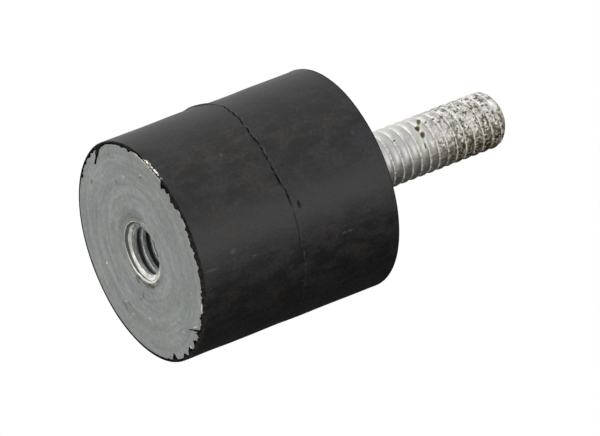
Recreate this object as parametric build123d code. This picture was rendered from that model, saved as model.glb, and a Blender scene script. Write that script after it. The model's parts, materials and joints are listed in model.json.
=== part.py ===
from build123d import *

import os
from math import radians, tan

# Bobbin vibration mount: a rubber cylinder moulded between two round steel end plates.
# The lower plate carries a threaded bush, the upper plate a threaded stud.
# Sizes are in millimetres. The mount stands on its threaded end: the origin is the middle of
# that end's face, and +Z runs along the axis towards the stud.

# Rubber body
body_dia = 30.0
body_height = 30.0
body_edge_chamfer = 0.2      # soft outer edge at each end
plate_skin = 0.4             # rubber left round the rim of each end plate
flash_width = 0.6            # bead where the mould's halves met, measured along the axis
flash_height = 0.15          # how far that bead stands proud

# End plates
plate_thickness = 2.0
plate_edge_chamfer = 0.3     # broken inner edge of each rim
plate_hole_clearance = 0.02  # round the bush's pilot and the stud's collar, on the radius

# Threaded bush, 5/16-18 UNC, bored at the thread's minor diameter
bush_bore_dia = 6.6
bush_mouth_dia = 8.4         # outer edge of the countersink
bush_mouth_angle = 60.0      # countersink's wall against the axis
bush_pilot_dia = 9.4         # fills the plate's hole
bush_shoulder_dia = 13.0     # seats on the plate's inner face
bush_length = 9.5

# Threaded stud, 5/16-18 UNC, turned at the thread's major diameter
stud_dia = 7.8
stud_length = 25.4           # from the rubber's end face to the tip
stud_tip_dia = 4.8           # flat on the very end
stud_tip_length = 1.8        # rounded lead-in
stud_tip_bulge = 0.2         # how far the lead-in swells past a straight taper
stud_collar_dia = 9.4        # fills the plate's hole
stud_head_dia = 14.0         # seats on the plate's inner face
stud_head_thickness = 2.5
stud_head_chamfer = 0.4


def turned(*edges):
    """Solid of revolution about Z from the edges of its half section."""
    return revolve(make_face(Wire(list(edges))), Axis.Z)


def line(*points):
    """Straight edges through (radius, height) points of a half section."""
    return Polyline(*[(radius, 0, height) for radius, height in points]).edges()


def arc(start, middle, end):
    """Circular edge through three (radius, height) points of a half section."""
    return ThreePointArc(*[(radius, 0, height) for radius, height in (start, middle, end)]).edges()


def drum(diameter, low, high):
    """Plain cylinder on the axis, between two heights."""
    upwards = (Align.CENTER, Align.CENTER, Align.MIN)
    return Pos(0, 0, low) * Cylinder(diameter / 2, high - low, align=upwards)


def end_disc():
    """Blank of an end plate: outer face at z = 0, broken inner edge above."""
    rim = body_dia / 2 - plate_skin
    return turned(*line(
        (0, 0),
        (rim, 0),
        (rim, plate_thickness - plate_edge_chamfer),
        (rim - plate_edge_chamfer, plate_thickness),
        (0, plate_thickness),
        (0, 0),
    ))


def end_plate(filler_dia):
    """Steel disc with a hole for the piece that fills its middle."""
    hole_dia = filler_dia + 2 * plate_hole_clearance
    return end_disc() - drum(hole_dia, 0, plate_thickness)


def at_stud_end(shape):
    """A shape made for the threaded end, turned over onto the stud's end."""
    return Pos(0, 0, body_height) * Rot(X=180) * shape


def threaded_bush():
    """Shouldered bush, flush with the plate's face, with a countersunk through bore."""
    bore = bush_bore_dia / 2
    mouth = bush_mouth_dia / 2
    pilot = bush_pilot_dia / 2
    shoulder = bush_shoulder_dia / 2
    mouth_depth = (mouth - bore) / tan(radians(bush_mouth_angle))
    return turned(*line(
        (mouth, 0),
        (pilot, 0),
        (pilot, plate_thickness),
        (shoulder, plate_thickness),
        (shoulder, bush_length),
        (bore, bush_length),
        (bore, mouth_depth),
        (mouth, 0),
    ))


def threaded_stud():
    """Headed stud: head inside the rubber, collar in the plate, shank out of the end face."""
    shank = stud_dia / 2
    collar = stud_collar_dia / 2
    head = stud_head_dia / 2
    tip = stud_tip_dia / 2
    tip_height = body_height + stud_length
    taper_start = tip_height - stud_tip_length
    seat = body_height - plate_thickness
    head_end = seat - stud_head_thickness
    taper = Vector(shank - tip, stud_tip_length)
    swell = Vector(taper.Y, taper.X).normalized() * stud_tip_bulge
    taper_middle = ((shank + tip) / 2 + swell.X, (taper_start + tip_height) / 2 + swell.Y)
    return turned(
        *line(
            (tip, tip_height),
            (0, tip_height),
            (0, head_end),
            (head - stud_head_chamfer, head_end),
            (head, head_end + stud_head_chamfer),
            (head, seat),
            (collar, seat),
            (collar, body_height),
            (shank, body_height),
            (shank, taper_start),
        ),
        *arc((shank, taper_start), taper_middle, (tip, tip_height)),
    )


def rubber_blank():
    """Moulded cylinder with soft end edges and a sharp flash bead round its middle."""
    wall = body_dia / 2
    soft = min(body_edge_chamfer, plate_skin)
    middle = body_height / 2
    return turned(*line(
        (0, 0),
        (wall - soft, 0),
        (wall, soft),
        (wall, middle - flash_width / 2),
        (wall + flash_height, middle),
        (wall, middle + flash_width / 2),
        (wall, body_height - soft),
        (wall - soft, body_height),
        (0, body_height),
        (0, 0),
    ))


def rubber_body(stud):
    """Rubber moulded round the plates, the bush's shoulder and the stud's head."""
    bush_pocket = drum(bush_shoulder_dia, plate_thickness, bush_length)
    return rubber_blank() - end_disc() - at_stud_end(end_disc()) - bush_pocket - stud


stud = threaded_stud()
pieces = {
    "rubber_body": rubber_body(stud),
    "threaded_end_plate": end_plate(bush_pilot_dia),
    "threaded_bush": threaded_bush(),
    "stud_end_plate": at_stud_end(end_plate(stud_collar_dia)),
    "threaded_stud": stud,
}

os.makedirs("parts", exist_ok=True)
for node, piece in pieces.items():
    export_step(piece, f"parts/{node}.step")
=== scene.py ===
import json

import bpy
import numpy as np
from mathutils import Matrix, Vector


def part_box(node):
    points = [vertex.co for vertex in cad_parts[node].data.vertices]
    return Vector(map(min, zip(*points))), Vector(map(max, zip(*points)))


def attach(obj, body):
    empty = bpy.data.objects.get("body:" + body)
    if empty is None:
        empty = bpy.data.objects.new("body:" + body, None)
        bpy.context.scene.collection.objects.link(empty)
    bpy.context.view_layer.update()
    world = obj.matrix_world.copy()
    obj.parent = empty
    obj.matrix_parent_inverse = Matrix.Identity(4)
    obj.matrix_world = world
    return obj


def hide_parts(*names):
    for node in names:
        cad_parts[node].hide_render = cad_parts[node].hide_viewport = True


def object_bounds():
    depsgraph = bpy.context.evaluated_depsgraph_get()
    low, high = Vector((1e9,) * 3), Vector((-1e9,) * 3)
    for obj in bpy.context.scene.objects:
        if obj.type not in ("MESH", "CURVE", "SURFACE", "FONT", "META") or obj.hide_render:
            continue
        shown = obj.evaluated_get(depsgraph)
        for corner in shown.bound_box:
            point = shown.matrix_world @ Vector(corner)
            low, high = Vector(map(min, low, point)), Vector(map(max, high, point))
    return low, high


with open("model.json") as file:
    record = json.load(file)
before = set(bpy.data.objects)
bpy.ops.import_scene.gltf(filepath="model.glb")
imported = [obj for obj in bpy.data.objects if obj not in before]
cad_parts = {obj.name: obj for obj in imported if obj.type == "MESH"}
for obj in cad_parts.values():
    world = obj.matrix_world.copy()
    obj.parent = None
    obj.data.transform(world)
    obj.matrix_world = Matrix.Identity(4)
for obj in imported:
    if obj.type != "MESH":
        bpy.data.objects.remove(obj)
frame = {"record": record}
cadLow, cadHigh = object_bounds()
mm = 0.001
capRadius = 0.4                   # smallest ring before a pole, in millimetres


# What the CAD says, in millimetres

def sizeOf(node):
    # Outer radius, lowest and highest point of a round node.
    low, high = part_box(node)
    return high.x / mm, low.z / mm, high.z / mm


def mountRadius(name):
    return next(m["dims"]["r_mm"] for m in frame["record"]["mounts"] if m["name"] == name)


bodyHeight = sizeOf("rubber_body")[2]
plateRadius, plateLow, plateHigh = sizeOf("threaded_end_plate")
upperPlateLow = sizeOf("stud_end_plate")[1]
shoulderRadius, _, bushLength = sizeOf("threaded_bush")
headRadius, headLow, studTip = sizeOf("threaded_stud")
boreRadius = mountRadius("female_thread")
studRadius = mountRadius("male_thread")
threadPitch = 25.4 / 18           # 18 turns to the inch


# Shared surface tools. A wave is (seed, slowest, fastest, fade), as ripple takes them. The rims' and
# the plates' waves leave the seed out, because each end gives its own.

def turn(columns):
    # Evenly spaced angles once round the axis, as one row.
    return np.linspace(0, 2 * np.pi, columns, endpoint=False)[None, :]


def around(angle, centre, halfWidth):
    # Bump in angle: exp(-(d / halfWidth)^4), where d is the shortest way round to the centre.
    away = (angle - np.radians(centre) + np.pi) % (2 * np.pi) - np.pi
    return np.exp(-(away / np.radians(halfWidth)) ** 4)


def bumps(angle, places):
    # Sum of size times the bump above, over places of (centre, half width, size).
    return sum((size * around(angle, centre, halfWidth) for centre, halfWidth, size in places), 0 * angle)


def bead(across, middle, halfWidth):
    # Rounded ridge: exp(-((across - middle) / halfWidth)^2).
    return np.exp(-((across - middle) / halfWidth) ** 2)


def ripple(angle, seed, slowest, fastest, fade):
    # Ragged closed curve: sum of cos(k angle + phase) / k^fade over k, scaled to a swing of about 1.
    rng = np.random.default_rng(seed)
    waves = np.arange(slowest, fastest + 1)
    phases = rng.uniform(0, 2 * np.pi, waves.size)
    weights = waves ** -float(fade)
    weights /= np.sqrt((weights ** 2).sum() / 2)
    return np.tensordot(weights, np.cos(waves[:, None, None] * angle + phases[:, None, None]), 1) / 2


def patchy(angle, patches, *wave):
    # Uneven share: mean + swing times a ripple, kept between the least and the most.
    mean, swing, least, most = patches
    return np.clip(mean + swing * ripple(angle, *wave), least, most)


def lumps(angle, height, seed, count, mostRound, mostAlong):
    # Uneven skin: sum of cos(k angle + m height + phase), whole k up to mostRound and m up to mostAlong.
    rng = np.random.default_rng(seed)
    total = 0
    for k, m, phase in zip(rng.integers(0, mostRound + 1, count), rng.uniform(-mostAlong, mostAlong, count),
                           rng.uniform(0, 2 * np.pi, count)):
        total = total + np.cos(k * angle + m * height + phase)
    return total / np.sqrt(count)


def outline(points, angle):
    # The same profile points all the way round: one row for each (radius, height).
    radius, height = np.array(points, float).T[:, :, None]
    return radius + 0 * angle, height + 0 * angle


def placed(name, data):
    # New object in the scene that holds this mesh, lamp or camera.
    holder = bpy.data.objects.new(name, data)
    bpy.context.scene.collection.objects.link(holder)
    return holder


def turnedPiece(name, radius, height, angle, ends, sharpAngle, attributes=()):
    # Grid of profile rows by angles: (radius cos angle, radius sin angle, height), in millimetres.
    # The profile keeps the solid on its left. Ends "poles" shut it with one point at each end,
    # and "loop" joins the last row to the first. Each attribute is a value for every grid point.
    radius, height, angle = np.broadcast_arrays(radius, height, angle)
    rows, columns = radius.shape
    points = np.stack([radius * np.cos(angle), radius * np.sin(angle), height], -1).reshape(-1, 3)
    here = np.arange(columns)
    after = (here + 1) % columns
    lower = np.arange(rows if ends == "loop" else rows - 1)[:, None] * columns
    upper = (lower + columns) % (rows * columns)
    faces = np.stack([lower + here, lower + after, upper + after, upper + here], -1).reshape(-1, 4).tolist()
    if ends == "poles":
        last = (rows - 1) * columns
        first, final = len(points), len(points) + 1
        points = np.vstack([points, [0, 0, height[0].mean()], [0, 0, height[-1].mean()]])
        faces += np.stack([after, here, np.full(columns, first)], -1).tolist()
        faces += np.stack([last + here, last + after, np.full(columns, final)], -1).tolist()
    mesh = bpy.data.meshes.new(name)
    mesh.from_pydata((points * mm).tolist(), [], faces)
    for key, values in dict(attributes).items():
        filled = np.zeros(len(points))
        filled[:values.size] = values.ravel()
        mesh.attributes.new(key, "FLOAT", "POINT").data.foreach_set("value", filled)
    mesh.shade_smooth()
    mesh.set_sharp_from_angle(angle=float(np.radians(sharpAngle)))
    return placed(name, mesh)


def dress(piece, material):
    piece.data.materials.append(material)
    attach(piece, "root")
    print("made", piece.name, len(piece.data.polygons), "faces")


def standFor(piece, node, material):
    # The piece takes a node's place: the node is hidden, and the piece gets the material and joins the root
    # body.
    dress(piece, material)
    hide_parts(node)


# Material tools

shaderSocket = {"colour": "Base Color", "metal": "Metallic", "rough": "Roughness", "normal": "Normal",
                "specular": "Specular IOR Level"}


class Nodes:
    # Short ways to add nodes to a tree and wire them. Lengths are in millimetres and angles in degrees.

    def __init__(self, tree):
        self.tree = tree
        self.shader = tree.nodes.get("Principled BSDF")
        self.place = self.add("ShaderNodeTexCoord").outputs["Object"]

    def add(self, kind, inputs=(), **settings):
        node = self.tree.nodes.new(kind)
        for key, value in settings.items():
            setattr(node, key, value)
        for key, value in dict(inputs).items():
            self.give(node.inputs[key], value)
        return node

    def give(self, socket, value):
        if isinstance(value, bpy.types.NodeSocket):
            self.tree.links.new(value, socket)
        elif socket.type == "RGBA":
            socket.default_value = (*value, 1.0)
        else:
            socket.default_value = value

    def math(self, operation, *values):
        return self.add("ShaderNodeMath", enumerate(values), operation=operation).outputs[0]

    def times(self, first, second):
        return self.math("MULTIPLY", first, second)

    def plus(self, value, factor, other):
        # The value times the factor, plus the other.
        return self.math("MULTIPLY_ADD", value, factor, other)

    def without(self, value):
        return self.math("SUBTRACT", 1.0, value)

    def most(self, *values):
        # The greatest of the values.
        values = list(values)
        while len(values) > 1:
            values.append(self.math("MAXIMUM", values.pop(0), values.pop(0)))
        return values[0]

    def turnFrom(self, angle, centre):
        # Shortest way round from a centre to the angle, from -180 to 180.
        return self.math("WRAP", self.math("SUBTRACT", angle, centre), 180, -180)

    def awayFrom(self, angle, centre):
        return self.math("ABSOLUTE", self.turnFrom(angle, centre))

    def polar(self):
        # Angle round the axis, distance from the axis, and height.
        x, y, z = self.add("ShaderNodeSeparateXYZ", {0: self.place}).outputs
        square = self.plus(x, x, self.times(y, y))
        angle = self.math("DEGREES", self.math("ARCTAN2", y, x))
        return angle, self.math("DIVIDE", self.math("SQRT", square), mm), self.math("DIVIDE", z, mm)

    def attribute(self, name):
        return self.add("ShaderNodeAttribute", attribute_name=name).outputs["Fac"]

    def noise(self, scale, detail=3, roughness=0.5, stretch=(1, 1, 1), offset=(0, 0, 0), vector=None):
        # Cloudy pattern from 0 to 1, with about scale features a millimetre.
        moved = vector or self.add("ShaderNodeMapping", {"Vector": self.place, "Location": offset,
                                                         "Scale": [s / mm for s in stretch]}).outputs[0]
        return self.add("ShaderNodeTexNoise", {"Vector": moved, "Scale": scale, "Detail": detail,
                                               "Roughness": roughness}).outputs[0]

    def spots(self, scale, share, size, seed):
        # Round spots, 1 inside: cells of a Voronoi pattern, of which only a share holds a spot.
        moved = self.add("ShaderNodeMapping", {"Vector": self.place, "Location": (seed, seed, seed),
                                               "Scale": [1 / mm] * 3}).outputs[0]
        cell = self.add("ShaderNodeTexVoronoi", {"Vector": moved, "Scale": scale})
        pick, other, _ = self.add("ShaderNodeSeparateColor", {0: cell.outputs["Color"]}).outputs
        reach = self.ramp(other, 0, 1, size * 0.5, size)
        inside = self.ramp(self.math("DIVIDE", cell.outputs["Distance"], reach), 1, 0.6)
        return self.times(inside, self.math("LESS_THAN", pick, share))

    def mark(self, spot, angle, along, wheel, wobble, soft=0.3):
        # Ragged ellipse, 1 inside: spot is (angle, place along, half length round the axis, half length
        # along, tilt), wheel the radius that turns degrees into millimetres, wobble moves the edge.
        centre, place, halfAround, halfAlong, tilt = spot
        across = self.times(self.turnFrom(angle, centre), wheel * np.pi / 180)
        up = self.math("SUBTRACT", along, place)
        c, s = np.cos(np.radians(tilt)), np.sin(np.radians(tilt))
        first = self.plus(across, c / halfAround, self.times(up, s / halfAround))
        second = self.plus(up, c / halfAlong, self.times(across, -s / halfAlong))
        square = self.plus(first, first, self.times(second, second))
        return self.ramp(self.math("ADD", self.math("SQRT", square), wobble), 1 + soft, 1 - soft)

    def marks(self, spots, *place, **shape):
        return self.most(*[self.mark(spot, *place, **shape) for spot in spots])

    def ramp(self, value, low, high, fromValue=0.0, toValue=1.0):
        return self.add("ShaderNodeMapRange", {"Value": value, "From Min": low, "From Max": high,
                                               "To Min": fromValue, "To Max": toValue}).outputs[0]

    def blend(self, share, first, second, mode="MIX"):
        # Colour mix: first where the share is 0, second where it is 1.
        node = self.add("ShaderNodeMix", data_type="RGBA", blend_type=mode)
        self.give(node.inputs[0], share)
        self.give(node.inputs[6], first)
        self.give(node.inputs[7], second)
        return node.outputs[2]

    def mottle(self, pattern, low, high, first, second):
        # The first colour where the pattern is below low, and the second where it is above high.
        return self.blend(self.ramp(pattern, low, high), first, second)

    def paint(self, base, top, share, strength=1.0):
        # Top colour laid over the base, by the share times the strength.
        return self.blend(self.times(share, strength), base, top)

    def tone(self, base, *levels):
        # Base colour made darker or lighter by each level in turn.
        for level in levels:
            grey = self.add("ShaderNodeCombineColor", {0: level, 1: level, 2: level}).outputs[0]
            base = self.blend(1.0, base, grey, "MULTIPLY")
        return base

    def bump(self, height, distance, strength):
        return self.add("ShaderNodeBump", {"Height": height, "Distance": distance * mm,
                                           "Strength": strength}).outputs[0]

    def shade(self, **values):
        for key, value in values.items():
            self.give(self.shader.inputs[shaderSocket[key]], value)


def newMaterial(name):
    material = bpy.data.materials.new(name)
    material.use_nodes = True
    return material, Nodes(material.node_tree)


# Rubber body

rubber = {
    "columns": 760,
    "radius": 15.0,
    "lumpHeight": 0.018,
    "lumps": (3, 40, 14, 1.2),    # seed, count, most waves round, most along
    "seamHeight": bodyHeight / 2,
    "seamBand": (-0.9, 1.6),      # rows crowd between these heights round it and follow the parting line
    "rows": (22, 60, 26),         # how many rows lie below, in and above the band
    "seamSway": 0.45,             # the parting line rises this much at its high side and opposite it
    "seamHighSide": -175,
    "seamSag": (-118, 22),        # angle and half width of its low stretch
    "seamWander": 0.13,
    "seamWave": (5, 5, 150, 0.6),
    "seamTorn": (-190, 20, 1.3),  # angle, half width and drop of the parting line where the flash tore off
    "seamBold": (-137, 52, 0.55),    # angle, half width and share by which the parting is bolder
    "seamFaint": (0, 56, 0.75),   # the same where it fades
    "groove": 0.24,
    "grooveWidth": (0.077, 0.055),    # least, and more where it is bold
    "grooveWave": (7, 9, 120, 0.5),
    "groovePatches": (0.8, 0.6, 0, 1.3),    # mean, swing, least and most of its depth
    "flash": (0.2, 0.1),          # middle above the parting line and half width of its ragged ridge, which carries a painted highlight
    "flashHeight": 0.12,
    "flashWave": (6, 16, 120, 0.4),
    "flashPatches": (0.4, 1.3, 0, 1.6),
    "finPlace": (-177, 17),       # angle and half width of the flash still standing
    "fin": (-0.17, 0.13),         # middle from the parting line and half width
    "finHeight": 0.2,
    "mouldStep": 0.14,            # the threaded half stands proud of the other by this on one side
    "mouldStepPlace": (-178, 50),
    "mouldStepShare": 0.8,        # share of the step that stands out, where the rest lies back
    "mouldStepWidth": 0.02,
    # (angle, height, half length round, half length along, depth in mm) of cuts in the side
    "nicks": [(-84, 16.1, 0.45, 0.15, 0.2), (-84, 21.5, 0.2, 0.2, 0.1), (-168, 21.4, 0.3, 0.25, 0.1)],
    # (angle, half width in degrees, depth) of rubber broken off the threaded end's edge
    "chips": [(-130, 12.5, 0.26), (-112, 3, 0.1), (-86, 2, 0.06)],
    "chipHeight": 0.5,
    "nickShade": 5,               # how fast the painted shade darkens with a nick's depth
    "finShade": 0.9,              # share of the painted shade on the fin
    "stepIn": 0.16,               # how far the hidden ends lie within the wall
    "underRim": 0.03,             # how far the wall runs on under a rim
    "underSkin": 0.02,            # gap below the skin
}

rim = {
    "columns": 1500,
    "cover": 0.16,                # how far up the side the rim reaches
    "backStep": 0.12,             # how far inside the wall its hidden back lies
    "foot": 0.02,                 # width of its foot on the wall of the body
    "edgeRound": 0.1,
    "narrowest": 0.04,            # flat that stays between the inner edge and the round
    # (how far out from the inner edge, share of the skin's depth) round the skin's lip
    "lip": [(0.03, 1), (0, 1), (0.008, 0.24), (0.02, 0)],
    "skin": 0.05,                 # thickness of the skin that laps over the steel
    "lap": 0.03,                  # how far the skin laps over the steel on average
    "thinSide": 112,              # the steel sits nearer the outside here, in degrees
    "thinner": 0.27,              # by this much, against the opposite side
    "steelGap": 0.01,
    "hair": 0.001,                # keeps two rows apart where a tear reaches past the steel
    "fringe": 0.04,               # raggedness everywhere, and more on one side
    "fringeWave": (20, 150, 0.6),
    "worseSide": (-80, 60, 0.05),
    "worseWave": (8, 60, 0.4),
    # Roughness, slowest, fastest and fade of the ripple on the laps, spikes and tears
    "lapWave": (0.5, 25, 190, 0.4),
    "spikeWave": (0.15, 60, 190, 0.2),
    "tearWave": (0.4, 25, 120, 0.5),
    # (angle, half width, reach inwards) of the ragged laps, and of the single spikes and shreds
    "laps": [(-108, 4.5, 0.7), (-98, 4.5, 0.1), (-88, 5, 0.4), (-62, 24, 0.52), (-34, 8, 0.4), (-24, 6, 0.3),
             (-14, 6, 0.12), (70, 50, 0.05), (160, 25, 0.07), (177, 6, 0.12), (-155, 20, 0.04)],
    "spikes": [(-119.8, 1.5, 1.4), (-117.4, 1.2, 0.6), (-115.2, 1.5, 0.7), (-99.1, 0.8, 0.2),
               (-92.7, 1.0, 0.3), (-83.3, 1.3, 0.4), (-78.5, 1.0, 0.2), (-56, 1.0, 0.2), (-40.6, 1.3, 0.25),
               (-33, 0.3, 1.9), (-30.6, 0.3, 0.4), (-28.0, 1.2, 0.3), (-20.3, 1.7, 0.5), (-11.0, 2.3, 0.6),
               (-3.6, 1.8, 0.42), (8.8, 1.9, 0.8), (15.5, 0.8, 0.15), (145.5, 1.2, 0.35), (149, 0.9, 0.25),
               (155.8, 1.0, 0.15), (163, 1.6, 0.2), (168.5, 1.0, 0.15), (176.3, 2.4, 0.85),
               (176.3, 1.7, 0.5), (-158, 1.6, 0.14), (-151.5, 1.2, 0.3)],
    "slant": [(176, 9, -8.5), (-32, 3.5, 4.8)],    # angle, half width, degrees of turn a millimetre inwards
    "slantFrom": 14.55,           # radius from which the shreds turn
    "shredWave": 0.8,             # sideways swing of a slanting shred, in degrees
    "shredWaves": 7,              # how fast it swings, in radians a millimetre
    "tears": [(-131, 14, 0.6), (68, 30, 0.1), (120, 20, 0.08)],    # the same, reaching outwards
    "innermost": 12,              # no skin reaches further in than this radius
    "tornWidth": 0.3,             # how far the black of the torn edge reaches
    "shredBlack": 1.5,            # how much further it reaches along a shred
    "flatRows": (0.17, 0.33, 0.5, 0.67, 0.83),
}

studRim = {"laps": [(60, 60, 0.12), (-120, 30, 0.2)], "spikes": [(20, 1.5, 0.5)], "slant": [], "tears": []}


def steelEdge(angle):
    # Radius of the steel in the threaded end, which sits a little to one side in the rubber:
    # the plate's radius plus (1 + cos(angle - thin side)) / 2 times the difference in the skin.
    offset = rim["thinner"] * (1 + np.cos(angle - np.radians(rim["thinSide"]))) / 2
    return plateRadius - rim["steelGap"] + offset


def wallRadius(angle, heights):
    # The moulded cylinder, plus faint lumps, less the rubber chipped off the threaded end's edge.
    chips = bumps(angle, rubber["chips"]) * np.exp(-(heights / rubber["chipHeight"]) ** 2)
    return rubber["radius"] + rubber["lumpHeight"] * lumps(angle, heights, *rubber["lumps"]) - chips


def partingRise(angle):
    # Height of the parting line over the middle: sway (cos(angle - high side)^2 - the sag's bump), less
    # the drop where the flash tore off, plus a ragged wander.
    v = rubber
    *torn, drop = v["seamTorn"]
    sway = np.cos(angle - np.radians(v["seamHighSide"])) ** 2 - around(angle, *v["seamSag"])
    wander = v["seamWander"] * ripple(angle, *v["seamWave"])
    return v["seamSway"] * sway - drop * around(angle, *torn) + wander


def rubberBody():
    # Wall radius = the wall above, plus the step between the mould halves, the flash ridge and the
    # flash's fin, less the parting groove and the nicks. Height = row + the parting line's rise there,
    # fading evenly to nothing at the ends. The ends are stepped in to sit under the two rims, and the
    # pockets inside hold the plates, the bush's shoulder and the stud's head.
    v = rubber
    angle = turn(v["columns"])
    low, high = rim["cover"] - v["underRim"], bodyHeight - rim["cover"] + v["underRim"]
    bandLow, bandHigh = (v["seamHeight"] + offset for offset in v["seamBand"])
    spans = zip((low, bandLow, bandHigh), (bandLow, bandHigh, high), v["rows"])
    rows = np.concatenate([np.linspace(a, b, n, endpoint=False) for a, b, n in spans] + [[high]])[:, None]
    rise = partingRise(angle)
    heights = rows + rise * np.interp(rows, [low, bandLow, bandHigh, high], [0, 1, 1, 0])
    across = heights - v["seamHeight"] - rise    # distance up from the parting line

    *boldPlace, bolder = v["seamBold"]
    *faintPlace, fainter = v["seamFaint"]
    boldness = (1 - bolder + bolder * around(angle, *boldPlace)) * (1 - fainter * around(angle, *faintPlace))
    upper = 1 / (1 + np.exp(-across / v["mouldStepWidth"]))
    step = v["mouldStep"] * (v["mouldStepShare"] - upper) * around(angle, *v["mouldStepPlace"])
    ridge = boldness * bead(across, *v["flash"]) * patchy(angle, v["flashPatches"], *v["flashWave"])
    fin = around(angle, *v["finPlace"]) * bead(across, *v["fin"])
    narrow, wider = v["grooveWidth"]
    parting = boldness * np.exp(-(across / (narrow + wider * boldness)) ** 4)
    parting = parting * patchy(angle, v["groovePatches"], *v["grooveWave"])
    nicks = sum(depth * bead(heights, z, along) * around(angle, place, np.degrees(width / v["radius"]))
                for place, z, width, along, depth in v["nicks"])
    wall = wallRadius(angle, heights) + step + v["flashHeight"] * ridge + v["finHeight"] * fin
    wall = wall - v["groove"] * parting - nicks

    outer = v["radius"] - v["stepIn"]
    under = rim["skin"] + v["underSkin"]
    below = outline([(capRadius, bushLength), (shoulderRadius, bushLength), (shoulderRadius, plateHigh),
                     (plateRadius, plateHigh), (plateRadius, under), (outer, low)], angle)
    above = outline([(outer, high), (plateRadius, bodyHeight - under), (plateRadius, upperPlateLow),
                     (headRadius, upperPlateLow), (headRadius, headLow), (capRadius, headLow)], angle)
    radius = np.vstack([below[0], wall, above[0]])
    height = np.vstack([below[1], heights, above[1]])
    paintedGrooveShade, flash = np.zeros_like(radius), np.zeros_like(radius)
    side = slice(len(below[0]), -len(above[0]))
    # painted shade: near-black laid in the parting groove, in the nicks and on the fin
    paintedGrooveShade[side] = np.clip(parting + nicks * v["nickShade"] + v["finShade"] * fin, 0, 1)
    # the flash ridge, where a lighter colour is painted as a highlight
    flash[side] = np.clip(ridge, 0, 1)
    return turnedPiece("rubber", radius, height, angle, "poles", 55, {"paintedGrooveShade": paintedGrooveShade, "flash": flash})


def ragged(angle, places, seed, roughness, *wave):
    # Bumps in angle, made uneven: the sum of the bumps times (1 + roughness times a ripple).
    return bumps(angle, places) * (1 + roughness * ripple(angle, seed, *wave))


def rubberRim(name, face, inwards, seed, damage):
    # Edge of the rubber at the end face at height "face", with the thin skin that laps over the
    # steel. Inner edge = the steel's edge, less the average lap, a fringe, ragged laps and spikes, plus
    # the torn places. Shreds turn as they reach further in: the turn is slant times d, plus a swing of
    # sin(7 d), where d is how far in the point lies.
    v = rim
    angle = turn(v["columns"])
    *worseSide, worse = v["worseSide"]
    reach = v["fringe"] * ripple(angle, seed, *v["fringeWave"])
    reach = reach + worse * around(angle, *worseSide) * ripple(angle, seed + 4, *v["worseWave"])
    shreds = ragged(angle, damage["spikes"], seed + 3, *v["spikeWave"])
    reach = reach + ragged(angle, damage["laps"], seed + 1, *v["lapWave"]) + shreds
    reach = reach - ragged(angle, damage["tears"], seed + 2, *v["tearWave"])

    threaded = inwards > 0
    wall = wallRadius(angle, v["cover"] if threaded else bodyHeight - v["cover"])
    edge, skin, cover = v["edgeRound"], v["skin"], v["cover"]
    flat = wallRadius(angle, 0.0 if threaded else bodyHeight) - edge
    steel = steelEdge(angle) if threaded else plateRadius + 0 * angle
    inner = np.clip(steel - v["lap"] - reach, v["innermost"], flat - v["narrowest"])
    lip = [(inner + out, skin * share) for out, share in v["lip"]]
    start, end = lip[0][0], lip[-1][0]
    rows = [(wall - v["backStep"], cover - rubber["underRim"])]
    rows += [(np.maximum(start + v["hair"], steel + v["steelGap"]), skin)]
    rows += lip + [(end + (flat - end) * share, 0.0) for share in v["flatRows"]]
    rows += [(flat + edge * np.cos(q), edge * (1 - np.sin(q))) for q in np.linspace(np.pi / 2, 0, 5)]
    rows += [(wall, cover), (wall - v["foot"], cover)]
    radius = np.vstack([r for r, _ in rows])
    height = face + inwards * np.array([depth for _, depth in rows])[:, None] + 0 * angle

    slant = bumps(angle, damage["slant"])
    inwardsBy = np.clip(v["slantFrom"] - radius, 0, None)
    swing = v["shredWave"] * np.sign(slant) * (np.abs(slant) > 1) * np.sin(v["shredWaves"] * inwardsBy)
    turned = angle + np.radians(slant * inwardsBy + swing)
    black = np.clip(1 - (radius - inner) / v["tornWidth"] + v["shredBlack"] * shreds, 0, 1)
    if not threaded:
        radius, height, turned, black = radius[::-1], height[::-1], turned[::-1], black[::-1]
    return turnedPiece(name, radius, height, turned, "loop", 40, {"torn": black})


def tornRubber():
    # Matt black at the torn edges over the steel, and dusty brown-grey towards the outer corner.
    material, n = newMaterial("tornRubber")
    grain = n.noise(2.0, 4, 0.7)
    black = n.mottle(grain, 0.52, 0.62, (0.003, 0.003, 0.0027), (0.014, 0.011, 0.008))
    dusty = n.mottle(grain, 0.4, 0.6, (0.012, 0.011, 0.01), (0.036, 0.033, 0.029))
    base = n.mottle(n.plus(grain, 0.5, n.attribute("torn")), 0.45, 0.75, dusty, black)
    n.shade(colour=base, rough=0.7, specular=0.0, normal=n.bump(grain, 0.05, 0.7))
    return material


# (angle, height, half length round, half length along, tilt) on the rubber's side
rubberMarks = {
    "scuffs": [(-69, 1.5, 0.12, 0.7, 0), (-74, 5.1, 0.25, 0.35, 20), (-68, 8, 0.12, 0.3, 0),
               (-62, 21.6, 0.12, 0.3, 0), (-62, 22.5, 0.12, 0.2, 0), (-108, 27.4, 0.15, 0.15, 0),
               (-122, 9.3, 0.25, 0.2, 0)],
    "stains": [(-107, 16.9, 0.9, 0.6, 30), (-100, 3, 2.2, 1.2, 0), (-128, 24.5, 1.6, 1.2, 0)],
}
# the rubber is lightest round this angle, where the dust is fullest
lighterSide = -150


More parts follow.
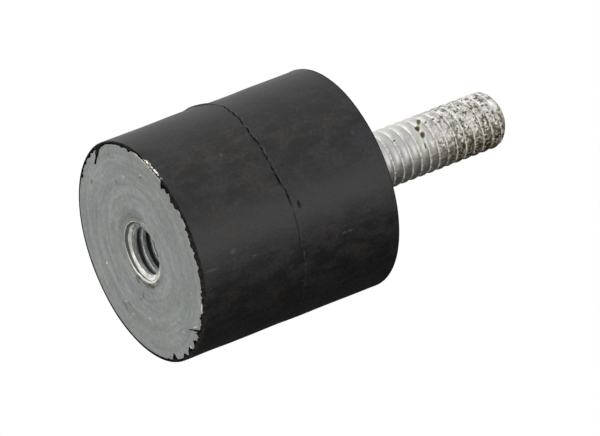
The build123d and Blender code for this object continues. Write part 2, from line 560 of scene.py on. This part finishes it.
def dustyRubber():
    # Black rubber with brown-grey dust in clouds and streaks along the mount, fuller on one side and thinning
    # so that the far side is darker, pale flecks, painted shade in near-black in the parting groove, the
    # nicks and on the fin, and a painted highlight along the torn flash ridge.
    material, n = newMaterial("dustyRubber")
    angle, _, height = n.polar()
    cloud = n.noise(0.3, 5, 0.65)
    smear = n.noise(0.8, 4, 0.65, stretch=(1, 1, 0.4), offset=(5, 0, 0))
    grain = n.noise(2.4, 4, 0.7)
    hue = n.noise(0.3, 2, 0.5, offset=(0, 9, 4))
    dust = n.ramp(n.plus(smear, 0.5, n.times(cloud, 0.5)), 0.44, 0.57)
    # dust thins to a quarter away from this side, so the rubber is darker on the far side
    dust = n.times(dust, n.ramp(n.awayFrom(angle, lighterSide), 70, 115, 1.0, 0.25))
    dusty = n.mottle(hue, 0.42, 0.58, (0.0245, 0.0205, 0.0185), (0.018, 0.0185, 0.0215))
    base = n.blend(dust, (0.0052, 0.005, 0.0047), dusty)
    base = n.tone(base, n.ramp(grain, 0.38, 0.62, 0.7, 1.3))

    place = angle, height, rubber["radius"], n.plus(grain, 1.2, -0.6)
    scuffs = n.marks(rubberMarks["scuffs"], *place, soft=0.8)
    pale = n.most(n.times(scuffs, 0.5), n.times(n.spots(0.6, 0.2, 0.12, 0.02), 0.35))
    base = n.blend(pale, base, (0.1, 0.09, 0.08))
    stains = n.marks(rubberMarks["stains"], *place, soft=0.7)
    base = n.paint(base, (0.005, 0.0048, 0.0045), stains, 0.5)
    paintedGrooveShade = n.attribute("paintedGrooveShade")
    # painted highlight: lighter brown-grey along the flash ridge
    base = n.paint(base, (0.07, 0.064, 0.058), n.attribute("flash"), 0.9)
    # painted shade: near-black in the parting groove, the nicks and on the fin
    base = n.paint(base, (0.0015, 0.0015, 0.0015), paintedGrooveShade, 0.95)
    n.shade(colour=base, rough=n.most(n.ramp(dust, 0, 1, 0.47, 0.54), paintedGrooveShade), specular=0.36,
            normal=n.bump(n.plus(smear, 0.7, grain), 0.06, 0.6))
    return material


# End plates

plate = {
    "columns": 720,
    "faceInset": 0.05,            # the skin stands this much proud of the steel
    "holeClearance": 0.02,
    "nearHole": (1.5, 16),        # width and rows of the close-set ring round the hole
    "faceRows": 40,
    "rimRound": 0.09,
    "rimDepth": 1.2,              # how deep the rim lies open, before the part inside the rubber
    "innerStep": 0.3,             # how much narrower that part is
    "dishDepth": 0.12,            # pressed-in ring round the bush
    "dishWidth": 0.8,
    "dishSide": (168, 80),        # angle and half width
    "waviness": 0.005,
    "waves": 2.6,                 # radians of turning wave a millimetre
    "lumps": (24, 7, 1.5),        # count, most waves round, most along
    "burr": [(-131, 13.5, 0.24)],    # angle, half width and reach of the jagged lip
    "burrWave": (30, 175, 0.2),
    "burrPatches": (0.85, 0.4, 0.3, 1.25),
    "burrFold": 0.25,             # share of its reach by which it hangs back
}


def endPlate(name, fillerRadius, face, back, seed, dish, burr):
    # Ring with its seen face at height "face" and its hidden one at "back". Relief of the seen face =
    # waviness (cos(waves radius + seed) + lumps) less the dish beside the hole, which falls off as
    # exp(-(d / width)^2); its rim sticks out as a jagged burr.
    v = plate
    angle = turn(v["columns"])
    side = np.sign(back - face)
    hole = fillerRadius + v["holeClearance"]
    rimRadius = steelEdge(angle) if side > 0 else plateRadius - rim["steelGap"] + 0 * angle
    width, count = v["nearHole"]
    inside = np.linspace(hole, hole + width, count, endpoint=False)[:, None] + 0 * angle
    radii = np.vstack([inside, np.linspace(hole + width, rimRadius[0] - v["rimRound"], v["faceRows"])])
    relief = v["waviness"] * (np.cos(radii * v["waves"] + seed) + lumps(angle, radii, seed, *v["lumps"]))
    pressed = bead(radii, hole, v["dishWidth"]) * around(angle, *v["dishSide"])
    relief = relief - dish * v["dishDepth"] * pressed
    depth = face + side * (v["faceInset"] - relief)
    lip = bumps(angle, burr) * patchy(angle, v["burrPatches"], seed, *v["burrWave"])
    corner = np.linspace(0, np.pi / 2, 5)[1:, None]
    rows = [
        (radii, depth),
        (rimRadius + lip * np.sin(corner) - v["rimRound"] * (1 - np.sin(corner)),
         depth[-1:] + side * (v["rimRound"] + v["burrFold"] * lip) * (1 - np.cos(corner))),
        (np.vstack([rimRadius, 0 * angle + plateRadius - v["innerStep"], 0 * angle + hole]),
         np.array([[face + side * v["rimDepth"]], [back], [back]]) + 0 * angle),
    ]
    radius = np.vstack([r for r, _ in rows])
    height = np.vstack([h for _, h in rows])
    if side < 0:
        radius, height = radius[::-1], height[::-1]
    return turnedPiece(name, radius, height, angle, "loop", 35)


# (angle, radius, half length round, half length along, tilt) on the threaded end's face
faceMarks = {
    "rust": [(12, 4.85, 0.7, 0.12, 0), (26, 4.95, 0.4, 0.12, 0), (52, 5.1, 0.42, 0.3, 10),
             (60, 11.6, 0.12, 0.3, 20), (57, 10.4, 0.2, 0.16, 0), (150, 12.6, 0.12, 0.2, 0)],
    # painted shade on one side of the dimple round the hole
    "dimpleShade": [(172, 5.1, 3.0, 0.6, 0)],
    "dirt": [(38.5, 6.5, 0.09, 0.75, 0), (43, 7.6, 0.2, 0.14, 0), (183, 9.7, 0.09, 0.22, 0),
             (185, 13.4, 0.09, 0.2, 0), (-141, 11.6, 0.18, 0.08, 20), (50, 5.4, 0.35, 0.16, 10),
             (13.5, 14.3, 0.14, 0.12, 0)],
    # painted glints where chips and scratches catch the light
    "paintedLight": [(92, 10.8, 0.16, 0.16, 0), (-101.5, 14.45, 0.35, 0.1, 0), (-95.5, 14.4, 0.3, 0.12, 0),
               (-118, 14.4, 0.3, 0.1, 0), (-46.7, 13.86, 0.6, 0.1, 0), (62, 10.9, 0.12, 0.1, 0),
               (52, 11.4, 0.1, 0.12, 0), (-141, 11.9, 0.15, 0.06, 20), (196, 10.3, 0.2, 0.07, 0),
               (30, 9.6, 0.16, 0.12, 0), (-13.3, 14.1, 0.12, 0.2, 0), (-30.0, 13.2, 0.6, 0.05, -40)],
    "burr": [(-131, 14.72, 3.4, 0.3, 0), (-119, 14.5, 0.6, 0.2, 0)],
}
rustDark = (0.05, 0.04, 0.02)
dimpleShadeColour = (0.1, 0.105, 0.085)   # painted shade on one side of the dimple round the hole, on bush and plate alike


def turnedSteel(name, marks=None):
    # Grey steel with fine turning arcs, blotches and specks, and the marks that are given.
    material, n = newMaterial(name)
    angle, radius, _ = n.polar()
    x, y, _ = n.add("ShaderNodeSeparateXYZ", {0: n.place}).outputs
    reach = n.times(radius, mm)
    circle = n.add("ShaderNodeCombineXYZ", {0: n.math("DIVIDE", x, reach), 1: n.math("DIVIDE", y, reach),
                                            2: n.times(radius, 0.9)}).outputs[0]
    arcs = n.noise(1.0, 2, 0.5, vector=circle)
    fineArcs = n.noise(3.5, 3, 0.6, vector=circle)
    cloud = n.noise(0.14, 4, 0.6)
    tint = n.noise(0.22, 3, 0.55, offset=(2, 5, 0))
    grain = n.noise(1.6, 4, 0.7)
    base = n.mottle(tint, 0.38, 0.62, (0.243, 0.259, 0.24), (0.256, 0.265, 0.265))
    base = n.tone(base, n.ramp(arcs, 0.35, 0.65, 0.9, 1.1), n.ramp(fineArcs, 0.38, 0.62, 0.93, 1.07),
                  n.ramp(cloud, 0.36, 0.64, 0.9, 1.1), n.ramp(grain, 0.38, 0.62, 0.9, 1.1))
    base = n.paint(base, (0.1, 0.09, 0.07), n.spots(0.8, 0.12, 0.16, 0.03), 0.4)
    base = n.paint(base, (0.6, 0.6, 0.57), n.spots(0.7, 0.1, 0.13, 0.07), 0.5)
    if marks:
        place, wobble = (angle, radius), n.plus(grain, 1.4, -0.7)
        # painted shade on one side of the dimple round the hole
        base = n.paint(base, dimpleShadeColour, n.marks(marks["dimpleShade"], *place, 5, wobble, soft=0.9), 0.55)
        stain = n.mottle(grain, 0.42, 0.56, rustDark, (0.2, 0.15, 0.08))
        base = n.paint(base, stain, n.marks(marks["rust"], *place, 4.8, wobble, soft=0.5), 0.8)
        base = n.paint(base, (0.03, 0.027, 0.02), n.marks(marks["dirt"], *place, 10, wobble), 0.75)
        # painted glints on chips and scratches
        base = n.paint(base, (0.75, 0.74, 0.7), n.marks(marks["paintedLight"], *place, 12, wobble), 0.8)
        # the chipped burr: brown dirt, with cream painted glints
        chips = n.mottle(n.noise(3.2, 3, 0.6, offset=(1, 2, 3)), 0.42, 0.5,
                         (0.09, 0.065, 0.035), (0.86, 0.82, 0.72))
        base = n.paint(base, chips, n.marks(marks["burr"], *place, 14.7, wobble))
    relief = n.plus(fineArcs, 0.5, n.times(grain, 0.5))
    n.shade(colour=base, metal=1.0, rough=n.ramp(cloud, 0.3, 0.7, 0.46, 0.58),
            normal=n.bump(relief, 0.01, 0.6))
    return material


# Threads

def groove(turnsAlong, width):
    # How deep a thread is at a place, as a share of its depth: 0 on the crest and 1 in the middle of
    # the groove, which takes up this width of each turn, with rounded corners (a smooth step).
    fromMiddle = np.abs((turnsAlong % 1) - 0.5) * 2
    share = np.clip(1 - fromMiddle / width, 0, 1)
    return share * share * (3 - 2 * share)


bush = {
    "columns": 256,
    "mouthRadius": 4.2,
    "mouthAngle": 60,             # countersink's wall against the axis
    "mouthWave": (41, 3, 40, 0.8),
    "mouthWear": 0.05,            # how ragged the mouth's edge is
    "majorRadius": 4.1,
    "pilotRadius": 4.7,
    "edgeBreak": 0.05,
    "landInset": 0.1,             # the flat land begins this far outside the mouth
    "landColour": (0.03, 0.2),    # its colour begins this far outside, and ends at this depth
    "faceInset": 0.05,
    "rowStep": 0.04,
    "grooveWidth": 0.7,
    "firstTurn": 0.65,            # depth at which the groove begins, past the cone
    "runIn": 0.2,                 # over which it reaches its full depth
    "start": 0.57,                # where round the mouth the thread begins, in turns
    "stepDepth": 0.22,            # how deep a fine groove lies in the cone, widest on one side
    "stepWidth": (0.02, 0.1),     # least, and more on that side
    "stepSide": (120, 75),
    "stepCut": 0.08,
    "shadedSide": 140,              # painted shade darkens the cone round this angle
    "flatsFrom": (0.5, 0.65),     # depth from which the bore's crests take over from the cone
    # (angle, radius, half length round, half length along, tilt) of the rust below the mouth
    "rust": [(18, 4.5, 1.0, 0.2, 0), (50, 4.5, 0.4, 0.2, 0), (-14, 4.35, 0.6, 0.1, 0)],
    # painted shade of the dimple, carried onto the bush's land
    "dimpleShade": (170, 4.5, 3.2, 0.3, 0),
}


def threadedBush():
    # Bore radius = the greater of the thread (minor radius plus the groove's depth along a helix)
    # and the countersink's cone, plus a fine groove in the cone, exp(-((depth - its depth) / w)^4).
    # The outside is pilot, shoulder and back.
    v = bush
    angle = turn(v["columns"])
    down = np.arange(bushLength, v["faceInset"], -v["rowStep"])[:, None]
    turnsAlong = down / threadPitch - angle / (2 * np.pi) + v["start"]
    furrow = groove(turnsAlong, v["grooveWidth"]) * np.clip((down - v["firstTurn"]) / v["runIn"], 0, 1)
    bore = boreRadius + (v["majorRadius"] - boreRadius) * furrow
    mouth = v["mouthRadius"] + v["mouthWear"] * ripple(angle, *v["mouthWave"])
    cone = mouth - (down - v["faceInset"]) * np.tan(np.radians(v["mouthAngle"]))
    narrow, wider = v["stepWidth"]
    step = np.exp(-((down - v["stepDepth"]) / (narrow + wider * around(angle, *v["stepSide"]))) ** 4)
    furrow = np.maximum(np.where(cone > bore, 0, furrow), step)
    bore = np.maximum(bore, cone) + v["stepCut"] * step
    face, bevel = v["faceInset"], v["edgeBreak"]
    outside = [(v["mouthRadius"] + v["landInset"], face), (v["pilotRadius"] - bevel, face),
               (v["pilotRadius"], face + bevel), (v["pilotRadius"], plateHigh),
               (shoulderRadius, plateHigh), (shoulderRadius, bushLength)]
    radius, height = outline(outside, angle)
    furrow = np.vstack([0 * radius, furrow])
    radius, height = np.vstack([radius, bore]), np.vstack([height, down + 0 * angle])
    return turnedPiece("bush", radius, height, angle, "loop", 50, {"furrow": furrow})


def cutSteel():
    # Painted highlight of white steel on the cone, with painted shade on one side, painted light in blue-grey
    # on the bore's crests, painted shade in near-black and brown in its grooves, and the plates' grey on the
    # land round the mouth, with a rusty stain below and the painted shade of the dimple.
    material, n = newMaterial("cutSteelPaintedLight")
    angle, radius, height = n.polar()
    grain = n.noise(0.9, 3, 0.6, stretch=(1, 1, 4))
    cloud = n.noise(0.8, 3, 0.6)
    grooveShade = n.ramp(n.plus(cloud, 0.5, n.attribute("furrow")), 0.5, 0.8)
    nearShadedSide = n.ramp(n.awayFrom(angle, bush["shadedSide"]), 90, 35)
    # painted highlight: white steel on the cone, with painted shade on one side
    paintedLight = n.mottle(grain, 0.38, 0.62, (0.5, 0.5, 0.46), (0.86, 0.85, 0.79))
    paintedLight = n.paint(paintedLight, (0.25, 0.27, 0.24), nearShadedSide, 0.6)
    # painted shade: near-black and brown in the grooves and the fine step
    grooveShadeColour = n.mottle(height, 0.4, 0.6, (0.012, 0.013, 0.01), (0.1, 0.085, 0.06))
    paintedLight = n.paint(paintedLight, grooveShadeColour, grooveShade, 0.9)
    flatsDepth = n.plus(nearShadedSide, -0.4, height)    # the painted white reaches further in on the shaded side
    flats = n.times(n.ramp(flatsDepth, *bush["flatsFrom"]), n.without(grooveShade))
    # painted light: blue-grey on the bore's crests
    crests = n.mottle(grain, 0.38, 0.62, (0.4, 0.43, 0.45), (0.68, 0.71, 0.72))
    paintedLight = n.blend(flats, paintedLight, crests)
    outside, deepest = bush["landColour"]
    outsideMouth = n.math("GREATER_THAN", radius, bush["mouthRadius"] + outside)
    land = n.times(outsideMouth, n.math("LESS_THAN", height, deepest))
    base = n.blend(land, paintedLight, n.tone((0.245, 0.258, 0.24), n.ramp(cloud, 0.36, 0.64, 0.85, 1.12)))
    wobble = n.plus(cloud, 1.6, -0.8)
    rust = n.marks(bush["rust"], angle, radius, 4.4, wobble, soft=0.6)
    base = n.paint(base, n.mottle(grain, 0.42, 0.56, rustDark, (0.3, 0.22, 0.1)), rust, land)
    # painted shade of the dimple round the mouth
    dimpleShade = n.mark(bush["dimpleShade"], angle, radius, 4.5, wobble, soft=0.8)
    base = n.paint(base, dimpleShadeColour, dimpleShade, n.times(land, 0.5))
    inside = n.times(n.ramp(height, *bush["flatsFrom"]), n.without(grooveShade))
    n.shade(colour=base, metal=n.plus(n.most(inside, grooveShade), -0.7, 1.0),
            rough=n.plus(land, 0.2, n.ramp(grain, 0.3, 0.7, 0.22, 0.36)),
            normal=n.bump(grain, 0.006, 0.4))
    return material


stud = {
    "columns": 180,
    "collarRadius": 4.7,
    "collarInset": 0.03,
    "headChamfer": 0.4,
    "crestRadius": 3.89,
    "grooveDepth": 0.25,
    "grooveDepthAtTip": 0.34,
    "deepens": (3, 7),            # its depth changes between these distances below the tip
    "crestRoundness": 2.1,        # power of the fall from the crest to the groove
    "rowStep": 0.05,
    "start": 0.6,                 # where round the stud a crest begins, in turns
    "edgeWidth": 0.12,            # half width of the painted highlight line along the groove
    "edgeLumps": (51, 30, 60, 9),    # seed, count, most waves round, most along
    "edgeUneven": 0.55,           # share by which its width swells and shrinks
    "edgeEnd": 0.1,               # it ends where the lead-in has cut this much off the crest
    "tipRadius": 2.4,
    "tipLength": 2.0,
    "tipBulge": 0.42,
    "eaten": 0.07,                # how deep rust has eaten into the pitted end
    "eatenLumps": (61, 80, 44, 16),
    "pitsFrom": 41.5,             # height from which the plating is pitted
    "eatenFully": 4,              # how far above that the rust is at its deepest
    "litSide": 182,             # a painted highlight lightens the plating round this angle, and painted shade darkens the far side
    # (angle, height, half length round, half length along, tilt) of the large brown pits, those with a pale
    # ring first, and of a facet at the tip that gets a painted highlight
    "ringedPits": [(-140, 43.25, 0.8, 0.28, -34), (-124, 42.3, 0.54, 0.4, -33),
                   (-107, 42.45, 0.52, 0.35, -29), (-131, 43.95, 0.14, 0.22, 0),
                   (-147, 42.0, 0.2, 0.2, 0), (-117, 38.4, 0.14, 0.2, 0)],
    "pits": [(-134, 45.2, 0.3, 0.15, 30), (-84, 42.15, 0.45, 0.12, 0), (-130, 46.4, 0.3, 0.25, 0),
             (-124, 50.8, 0.25, 0.3, 0), (-122, 49.5, 0.4, 0.15, 30), (-94, 48.4, 0.2, 0.15, 0),
             (60, 44, 0.5, 0.4, 0), (20, 48, 0.4, 0.5, 0), (110, 46, 0.4, 0.3, 0)],
    "glintFacet": (-114, 53.8, 0.8, 0.5, 30),
}


def threadedStud():
    # Shank radius = the lesser of the thread and the rounded lead-in, less what rust has eaten.
    # Thread = crest radius - depth t^roundness, where t runs from 0 on the crest to 1 in the sharp
    # groove along a helix. Lead-in = a straight taper + 4 bulge s (1 - s), where s runs from 0 to 1.
    # Below are the collar in the plate and the head in the rubber. The painted highlight line lies in the
    # groove.
    v = stud
    angle = turn(v["columns"])
    up = np.arange(bodyHeight, studTip, v["rowStep"])[:, None]
    turnsAlong = up / threadPitch - angle / (2 * np.pi) + v["start"]
    fromGroove = 1 - np.abs((turnsAlong % 1) - 0.5) * 2
    depth = np.interp(studTip - up, v["deepens"], [v["grooveDepthAtTip"], v["grooveDepth"]])
    thread = v["crestRadius"] - depth * (1 - fromGroove) ** v["crestRoundness"]
    along = np.clip((up - (studTip - v["tipLength"])) / v["tipLength"], 0, 1)
    leadIn = studRadius - (studRadius - v["tipRadius"]) * along + v["tipBulge"] * 4 * along * (1 - along)
    hollows = np.clip(lumps(angle, up, *v["eatenLumps"]) - 0.3, 0, 1.5)
    eaten = v["eaten"] * np.clip((up - v["pitsFrom"]) / v["eatenFully"], 0, 1) * hollows
    shank = np.minimum(thread, leadIn) - eaten
    width = v["edgeWidth"] * (1 + v["edgeUneven"] * lumps(angle, up, *v["edgeLumps"]))
    edge = bead(fromGroove * threadPitch / 2, 0, width) * (leadIn > thread - v["edgeEnd"])
    collar, chamfer = v["collarRadius"], v["headChamfer"]
    hidden = [(capRadius, headLow), (headRadius - chamfer, headLow), (headRadius, headLow + chamfer),
              (headRadius, upperPlateLow), (collar, upperPlateLow), (collar, bodyHeight - v["collarInset"])]
    lowRadius, lowHeight = outline(hidden, angle)
    endRadius, endHeight = outline([(v["tipRadius"] - 0.02, studTip), (capRadius, studTip)], angle)
    radius = np.vstack([lowRadius, shank, endRadius])
    height = np.vstack([lowHeight, up + 0 * angle, endHeight])
    edge = np.vstack([0 * lowRadius, edge, 0 * endRadius])
    return turnedPiece("stud", radius, height, angle, "poles", 50, {"edge": edge})


def zincPlate():
    # Pale zinc that is smooth by the rubber, and brown, rough and pitted towards the tip, lighter on top by a
    # painted highlight and olive underneath by painted shade mixed with a brown tint, with a cream painted
    # highlight along the thread's groove.
    material, n = newMaterial("zincPlate")
    angle, _, height = n.polar()
    grain = n.noise(1.8, 4, 0.6)
    tint = n.noise(0.5, 2, 0.5, offset=(3, 0, 0))
    blotch = n.noise(1.8, 5, 0.75, offset=(0, 4, 0))
    fromTop = n.awayFrom(angle, stud["litSide"])
    worn = n.ramp(n.plus(grain, 9, height), stud["pitsFrom"] + 5, stud["pitsFrom"] + 11)
    base = n.mottle(tint, 0.42, 0.58, (0.5, 0.485, 0.495), (0.49, 0.5, 0.46))
    base = n.tone(base, n.ramp(grain, 0.38, 0.62, 0.92, 1.08))
    # painted highlight: lighter on top
    base = n.blend(n.ramp(fromTop, 48, 12), base, (0.68, 0.67, 0.65))
    # painted shade mixed with a brown tint: olive underneath, browner towards the pitted end
    under = n.ramp(fromTop, 84, 118)
    oliveShadeAndTint = n.mottle(grain, 0.4, 0.6, (0.31, 0.285, 0.2), (0.5, 0.47, 0.36))
    base = n.paint(base, oliveShadeAndTint, n.plus(worn, 0.6, 0.3), under)

    wobble = n.plus(grain, 1.0, -0.5)
    place = angle, height, stud["crestRadius"]
    large = n.marks(stud["ringedPits"] + stud["pits"], *place, n.times(wobble, 0.35))
    rings = n.marks(stud["ringedPits"], *place, n.math("ADD", wobble, -0.45))
    cream = n.times(n.ramp(blotch, 0.47, 0.44), worn)
    base = n.paint(base, (0.88, 0.85, 0.76), n.most(rings, cream), 0.6)
    small = n.most(n.spots(1.5, 0.65, 0.48, 0.01), n.spots(2.6, 0.55, 0.5, 0.05))
    ragged = n.ramp(n.plus(under, 0.05, blotch), 0.545, 0.575)
    pits = n.times(n.most(small, ragged), n.times(worn, 0.95))
    # a facet at the tip that gets a painted highlight
    glintFacet = n.mark(stud["glintFacet"], *place, wobble)
    pits = n.times(n.most(pits, large), n.without(glintFacet))
    brown = n.mottle(tint, 0.4, 0.6, (0.06, 0.05, 0.032), (0.14, 0.11, 0.065))
    base = n.blend(pits, base, brown)

    # painted highlight: a cream line along the thread's groove, broken into dashes, and on the tip's facet
    dotted = n.ramp(n.noise(1.1, 3, 0.6, offset=(8, 0, 0)), 0.4, 0.54, 0.45, 0.95)
    edge = n.times(n.times(n.ramp(n.attribute("edge"), 0.25, 0.75), dotted), n.without(large))
    paintedGlintLine = n.mottle(tint, 0.4, 0.6, (0.94, 0.91, 0.82), (0.9, 0.91, 0.88))
    base = n.blend(n.most(edge, n.times(glintFacet, 0.6)), base, paintedGlintLine)
    rough = n.plus(n.most(worn, pits), 0.06, n.ramp(grain, 0.3, 0.7, 0.46, 0.56))
    relief = n.plus(grain, 0.3, n.times(pits, -1.0))
    n.shade(colour=base, metal=n.plus(edge, -0.45, 1.0), rough=rough, normal=n.bump(relief, 0.05, 0.6))
    return material


# Pieces

standFor(rubberBody(), "rubber_body", dustyRubber())
rims = [rubberRim("threadedEndRim", 0, 1, 11, rim), rubberRim("studEndRim", bodyHeight, -1, 31, studRim)]
rimFinish = tornRubber()
for piece in rims:
    dress(piece, rimFinish)
standFor(endPlate("threadedEndPlate", bush["pilotRadius"], plateLow, plateHigh, 21, 1.0, plate["burr"]),
         "threaded_end_plate", turnedSteel("threadedEndSteel", faceMarks))
standFor(endPlate("studEndPlate", stud["collarRadius"], bodyHeight, upperPlateLow, 22, 0.0, []),
         "stud_end_plate", turnedSteel("studEndSteel"))
standFor(threadedBush(), "threaded_bush", cutSteel())
standFor(threadedStud(), "threaded_stud", zincPlate())


# Camera: it looks up at the threaded end, rolled so that the stud points up to the right.

camera = {
    "lens": 590.6,
    "distance": 1267.8,
    "axisDepth": 27.17,           # how far the axis turns away out of the view's plane, in degrees
    "axisRise": 21.18,            # how far the stud rises from the view's level, in degrees
    "faceLeft": 20.38,            # the threaded face's middle, left of and below the line of sight
    "faceDown": 4.43,
}


def cameraAxes():
    depth, rise = np.radians(camera["axisDepth"]), np.radians(camera["axisRise"])
    forward = Vector((0, np.cos(depth), np.sin(depth)))
    axisInView = Vector((0, -np.sin(depth), np.cos(depth)))
    sideways = Vector((1, 0, 0))
    right = axisInView * np.cos(rise) + sideways * np.sin(rise)
    up = axisInView * np.sin(rise) - sideways * np.cos(rise)
    return right, up, forward


right, up, forward = cameraAxes()
middle = (cadLow + cadHigh) / 2


def makeCamera():
    data = bpy.data.cameras.new("camera")
    data.lens = camera["lens"]
    holder = placed("camera", data)
    place = right * camera["faceLeft"] + up * camera["faceDown"] - forward * camera["distance"]
    turned = Matrix((right, up, -forward)).transposed().to_4x4()
    holder.matrix_world = Matrix.Translation(place * mm) @ turned
    bpy.context.scene.camera = holder


# Lights. Directions are (right, up, towards the camera) in the main view.

lamps = [
    {"name": "key", "direction": (-0.65, 0.7, 0.3), "distance": 420, "size": 300, "power": 0.45},
    {"name": "side", "direction": (0.83, 0.06, 0.55), "distance": 420, "size": 140, "power": 0.36},
    {"name": "left", "direction": (-0.75, -0.1, 0.6), "distance": 450, "size": 260, "power": 0.25},
]

# Dark cards below and behind the mount, seen in its reflections only
cards = [
    {"direction": (0.72, -0.68, -0.1), "distance": 80, "size": (190, 130)},
    {"direction": (0.3, -0.6, -0.75), "distance": 80, "size": (240, 140)},
]
cardShade = 0.05
plainLevel = 0.6                  # strength of the world where neither camera nor reflections see it


def towardsOf(direction):
    # World direction of one that is given in the main view.
    x, y, z = direction
    return (right * x + up * y - forward * z).normalized()


def makeLamp(lamp):
    data = bpy.data.lights.new(lamp["name"], "AREA")
    data.shape = "DISK"
    data.size = lamp["size"] * mm
    data.energy = lamp["power"]
    holder = placed(lamp["name"], data)
    towards = towardsOf(lamp["direction"])
    holder.location = middle + towards * lamp["distance"] * mm
    holder.rotation_mode = "QUATERNION"
    holder.rotation_quaternion = towards.to_track_quat("Z", "Y")


def makeCard(card):
    towards = towardsOf(card["direction"])
    along = towards.cross(right).cross(towards).normalized()
    across = towards.cross(along)
    centre = middle + towards * card["distance"] * mm
    long, wide = (size * mm / 2 for size in card["size"])
    corners = [centre + along * long * a + across * wide * b for a, b in ((-1, -1), (1, -1), (1, 1), (-1, 1))]
    mesh = bpy.data.meshes.new("darkCard")
    mesh.from_pydata(corners, [], [(0, 1, 2, 3)])
    holder = placed("darkCard", mesh)
    holder.visible_camera = holder.visible_shadow = holder.visible_diffuse = False
    material, n = newMaterial("darkCard")
    n.shade(colour=(cardShade, cardShade, cardShade), rough=1.0, specular=0.0)
    mesh.materials.append(material)


def makeWorld():
    # White to the camera and in reflections; a plain grey level everywhere else.
    world = bpy.data.worlds.new("studio")
    world.use_nodes = True
    n = Nodes(world.node_tree)
    ray = n.add("ShaderNodeLightPath").outputs
    seen = n.most(ray["Is Glossy Ray"], ray["Is Transmission Ray"], ray["Is Camera Ray"])
    back = world.node_tree.nodes["Background"]
    n.give(back.inputs["Color"], (1, 1, 1))
    n.give(back.inputs["Strength"], n.ramp(seen, 0, 1, plainLevel, 1.0))
    bpy.context.scene.world = world


floor = {"columns": 96, "radii": (60, 600), "drop": 0.15, "fade": (60, 200), "shade": 0.93}


def makeFloor():
    # Pale disc just under the mount, seen from above only, which fades into the white background.
    count = floor["columns"]
    angle = turn(count)[0]
    rings = [np.stack([np.cos(angle), np.sin(angle)], -1) * radius for radius in floor["radii"]]
    points = np.vstack([[0, 0], *rings])
    points = np.column_stack([points, np.full(len(points), -floor["drop"])])
    here = 1 + np.arange(count)
    after = 1 + (np.arange(count) + 1) % count
    faces = np.stack([here, after, 0 * here], -1).tolist()
    faces += np.stack([count + here, count + after, after, here], -1).tolist()
    mesh = bpy.data.meshes.new("floor")
    mesh.from_pydata((points * mm).tolist(), [], faces)
    holder = placed("floor", mesh)
    holder.visible_shadow = holder.visible_diffuse = holder.visible_glossy = False
    material, n = newMaterial("paleFloor")
    nearest, furthest = floor["fade"]
    fromMiddle = n.add("ShaderNodeVectorMath", {0: n.place}, operation="LENGTH").outputs["Value"]
    fade = n.ramp(fromMiddle, nearest * mm, furthest * mm)
    hidden = n.most(n.add("ShaderNodeNewGeometry").outputs["Backfacing"], fade)
    clear = n.add("ShaderNodeBsdfTransparent").outputs[0]
    n.shade(colour=(floor["shade"],) * 3, rough=0.9)
    mixed = n.add("ShaderNodeMixShader", {0: hidden, 1: n.shader.outputs[0], 2: clear}).outputs[0]
    n.give(material.node_tree.nodes["Material Output"].inputs[0], mixed)
    mesh.materials.append(material)


makeCamera()
for lamp in lamps:
    makeLamp(lamp)
makeWorld()
for card in cards:
    makeCard(card)
makeFloor()
bpy.context.scene.view_settings.view_transform = "Standard"
print("made camera, lights and floor")
